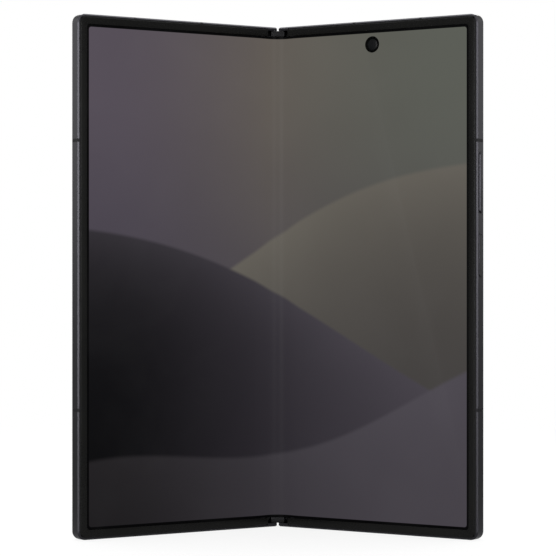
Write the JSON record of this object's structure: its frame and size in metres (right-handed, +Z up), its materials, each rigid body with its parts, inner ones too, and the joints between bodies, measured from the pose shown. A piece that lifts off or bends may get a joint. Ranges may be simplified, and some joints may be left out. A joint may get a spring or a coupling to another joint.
{
  "type": "foldable smartphone",
  "caption": "Book-style folding phone standing half opened, with a sliding-arc gear hinge, folding inner screen, cover screen, keys, card tray and rear camera island.",
  "frame": {"origin": "on the surface it stands on, at the middle of the standing phone's footprint", "axes": "+Z up along the fold; +X from the left half towards the right half; -Y the side towards which the inner screen opens"},
  "size_m": [0.124, 0.0416, 0.1584],
  "materials": {
    "frame": "fine bead-blasted violet grey anodising",
    "frame_breaks": "moulded plastic in the colour of the frame",
    "bezel": "satin black soft plastic",
    "screen": "glossy film over a lit dark picture",
    "black_glass": "polished black glass",
    "back_glass": "satin etched glass",
    "dark_steel": "dark sintered steel",
    "steel": "plain steel",
    "black_plastic": "matte black",
    "cell": "foil pouch",
    "board": "solder resist",
    "copper": "wound copper",
    "flash": "clear lens over a pale light"
  },
  "bodies": {
    "hinge": {"hinge_spine": "frame", "spine_end_caps": "dark_steel", "hinge_blocks": "dark_steel", "gear_covers": "steel", "block_screws": "steel", "gear_pins": "steel", "display_fold": "screen"},
    "right_pinion_pair": {"right_pinions": "steel"},
    "left_pinion_pair": {"left_pinions": "steel"},
    "right_idler_pair": {"right_idlers": "steel"},
    "left_idler_pair": {"left_idlers": "steel"},
    "right_half": {"right_frame": "frame", "right_antenna_breaks": "frame_breaks", "right_bezel": "bezel", "display_right": "screen", "right_arms": "dark_steel", "right_arm_screws": "steel", "inner_camera": "black_plastic", "inner_camera_lens": "black_glass", "right_back_glass": "back_glass", "camera_island": "frame", "lens_rings": "steel", "lens_windows": "black_glass", "flash_window": "flash", "rear_camera_modules": "black_plastic", "key_switches": "steel", "main_battery": "cell", "logic_board": "board", "shield_cans": "steel", "coil_shield": "black_plastic", "charging_coil": "copper", "charging_socket": "steel", "socket_tongue": "black_plastic", "loudspeaker": "black_plastic", "vibration_motor": "steel", "right_magnet": "steel", "power_ribbon": "copper"},
    "right_plate": {"right_support_plate": "steel"},
    "rocker": {"volume_rocker": "frame"},
    "key": {"side_key": "frame", "fingerprint_pad": "black_plastic"},
    "left_half": {"left_frame": "frame", "left_antenna_breaks": "frame_breaks", "left_bezel": "bezel", "display_left": "screen", "left_arms": "dark_steel", "left_arm_screws": "steel", "cover_glass": "black_glass", "cover_display": "black_plastic", "cover_camera": "black_plastic", "card_reader": "steel", "second_battery": "cell", "sub_board": "board", "earpiece": "black_plastic", "left_magnet": "steel"},
    "left_plate": {"left_support_plate": "steel"},
    "tray": {"card_tray": "frame"}
  },
  "joints": [
    {"name": "right_fold", "type": "hinge", "parent": "hinge", "child": "right_half", "pos_m": [0.00145, 0.01767, 0.0792], "axis": [0, 0, -1], "range_deg": [-32.5, 57.5], "deforming": ["display_fold"]},
    {"name": "left_fold", "type": "hinge", "parent": "hinge", "child": "left_half", "pos_m": [-0.00145, 0.01767, 0.0792], "axis": [0, 0, 1], "range_deg": [-32.5, 57.5]},
    {"name": "right_pinion_turn", "type": "hinge", "parent": "hinge", "child": "right_pinion_pair", "pos_m": [0.00165, 0.01855, 0.0792], "axis": [0, 0, -1], "range_deg": [-97.5, 172.5]},
    {"name": "left_pinion_turn", "type": "hinge", "parent": "hinge", "child": "left_pinion_pair", "pos_m": [-0.00165, 0.01855, 0.0792], "axis": [0, 0, 1], "range_deg": [-97.5, 172.5]},
    {"name": "right_idler_turn", "type": "hinge", "parent": "hinge", "child": "right_idler_pair", "pos_m": [0.0006, 0.01855, 0.0792], "axis": [0, 0, 1], "range_deg": [-73.13, 129.38]},
    {"name": "left_idler_turn", "type": "hinge", "parent": "hinge", "child": "left_idler_pair", "pos_m": [-0.0006, 0.01855, 0.0792], "axis": [0, 0, -1], "range_deg": [-73.13, 129.38]},
    {"name": "right_plate_tilt", "type": "hinge", "parent": "right_half", "child": "right_plate", "pos_m": [0.00758, 0.01323, 0.0792], "axis": [0, 0, -1], "range_deg": [-4.33, 7.67]},
    {"name": "left_plate_tilt", "type": "hinge", "parent": "left_half", "child": "left_plate", "pos_m": [-0.00758, 0.01323, 0.0792], "axis": [0, 0, 1], "range_deg": [-4.33, 7.67]},
    {"name": "rocker_tip", "type": "hinge", "parent": "right_half", "child": "rocker", "pos_m": [0.05976, -0.01841, 0.1076], "axis": [0.5373, 0.8434, 0], "range_deg": [-1.4, 1.4], "stiffness_Nm_per_rad": 0.05},
    {"name": "key_press", "type": "slide", "parent": "right_half", "child": "key", "axis": [-0.8434, 0.5373, 0], "range_m": [0, 0.0002], "stiffness_N_per_m": 2000},
    {"name": "tray_out", "type": "slide", "parent": "left_half", "child": "tray", "axis": [0, 0, 1], "range_m": [0, 0.013]}
  ],
  "couplings": [
    {"joint": "left_fold", "follows": "right_fold", "ratio": 1},
    {"joint": "right_pinion_turn", "follows": "right_fold", "ratio": 3},
    {"joint": "left_pinion_turn", "follows": "right_fold", "ratio": 3},
    {"joint": "right_idler_turn", "follows": "right_fold", "ratio": 2.25},
    {"joint": "left_idler_turn", "follows": "right_fold", "ratio": 2.25},
    {"joint": "right_plate_tilt", "follows": "right_fold", "ratio": 0.13333},
    {"joint": "left_plate_tilt", "follows": "right_fold", "ratio": 0.13333}
  ]
}
